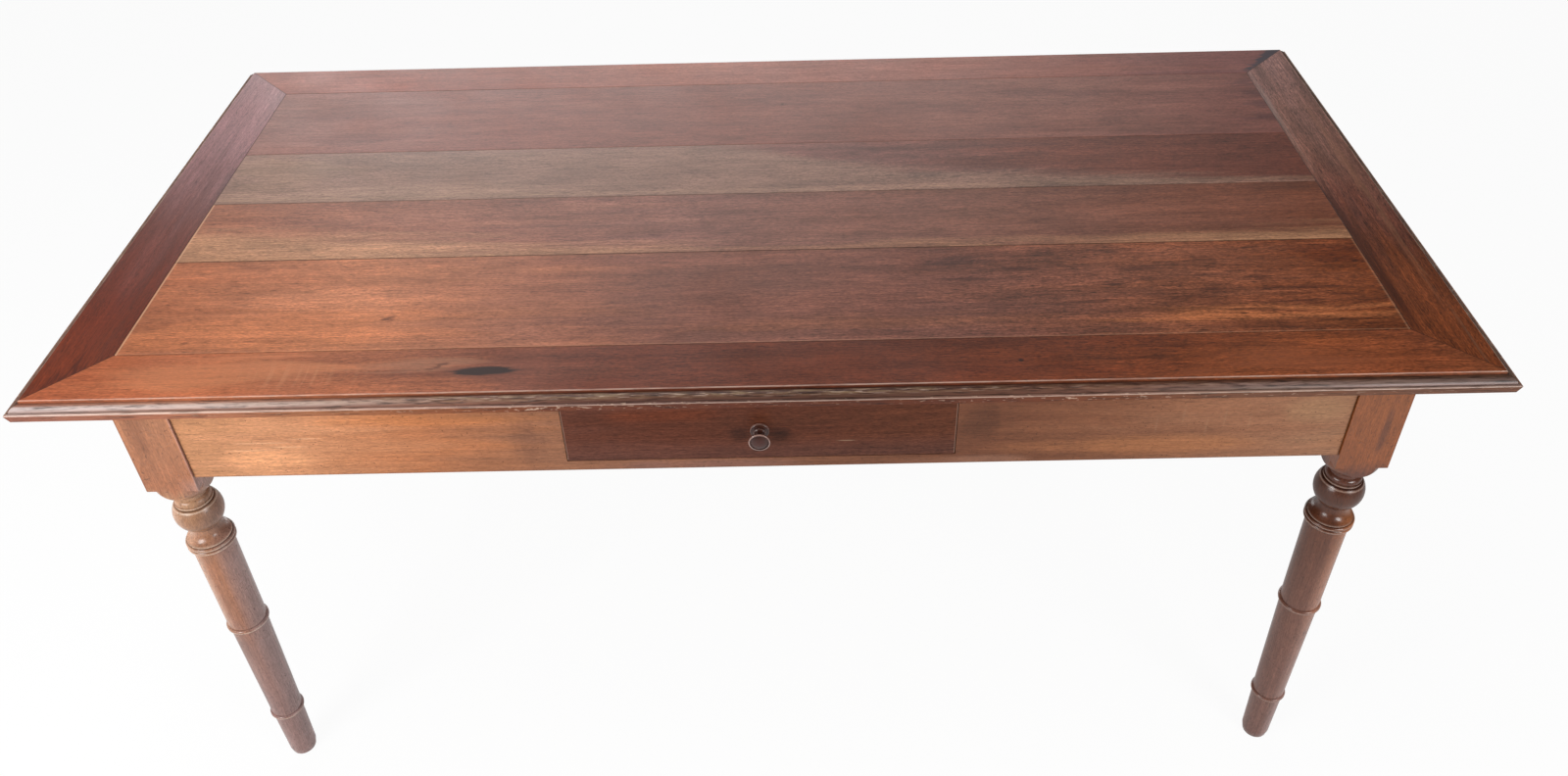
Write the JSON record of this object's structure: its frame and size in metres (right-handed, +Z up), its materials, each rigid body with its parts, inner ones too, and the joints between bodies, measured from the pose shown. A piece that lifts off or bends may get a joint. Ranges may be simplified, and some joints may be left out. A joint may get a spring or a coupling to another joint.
{
  "type": "kitchen table",
  "caption": "Rectangular wooden kitchen table with a mitred, framed plank top, moulded edge, turned legs and a shallow drawer with a turned knob in the front apron.",
  "frame": {"origin": "on the floor, under the middle of the top", "axes": "+X to the right along the front, +Y to the back, +Z up; the drawer opens to -Y"},
  "size_m": [1.6912, 0.8202, 0.78],
  "materials": {
    "plank_wood": "waxed, satin",
    "frame_wood": "waxed, satin",
    "leg_wood": "stained and waxed, satin",
    "apron_wood": "stained and waxed, satin",
    "drawer_face_wood": "stained and waxed, satin",
    "knob_wood": "polished",
    "inner_wood": "bare, planed",
    "steel": "plain steel, dulled"
  },
  "bodies": {
    "table": {"top_plank_front": "plank_wood", "top_plank_front_middle": "plank_wood", "top_plank_back_middle": "plank_wood", "top_plank_back": "plank_wood", "top_frame_front": "frame_wood", "top_frame_back": "frame_wood", "top_frame_left": "frame_wood", "top_frame_right": "frame_wood", "mitre_splines": "inner_wood", "leg_front_left": "leg_wood", "leg_front_right": "leg_wood", "leg_back_left": "leg_wood", "leg_back_right": "leg_wood", "apron_front": "apron_wood", "apron_back": "apron_wood", "apron_left": "apron_wood", "apron_right": "apron_wood", "top_buttons": "inner_wood", "button_screws": "steel", "runner_left": "inner_wood", "runner_right": "inner_wood", "kicker_left": "inner_wood", "kicker_right": "inner_wood", "drawer_stops": "inner_wood"},
    "drawer": {"drawer_front": "drawer_face_wood", "drawer_side_left": "inner_wood", "drawer_side_right": "inner_wood", "drawer_back": "inner_wood", "drawer_bottom": "inner_wood", "drawer_knob": "knob_wood", "bottom_nails": "steel"}
  },
  "joints": [
    {"name": "drawer_slide", "type": "slide", "parent": "table", "child": "drawer", "axis": [0, -1, 0], "range_m": [0, 0.4]}
  ]
}
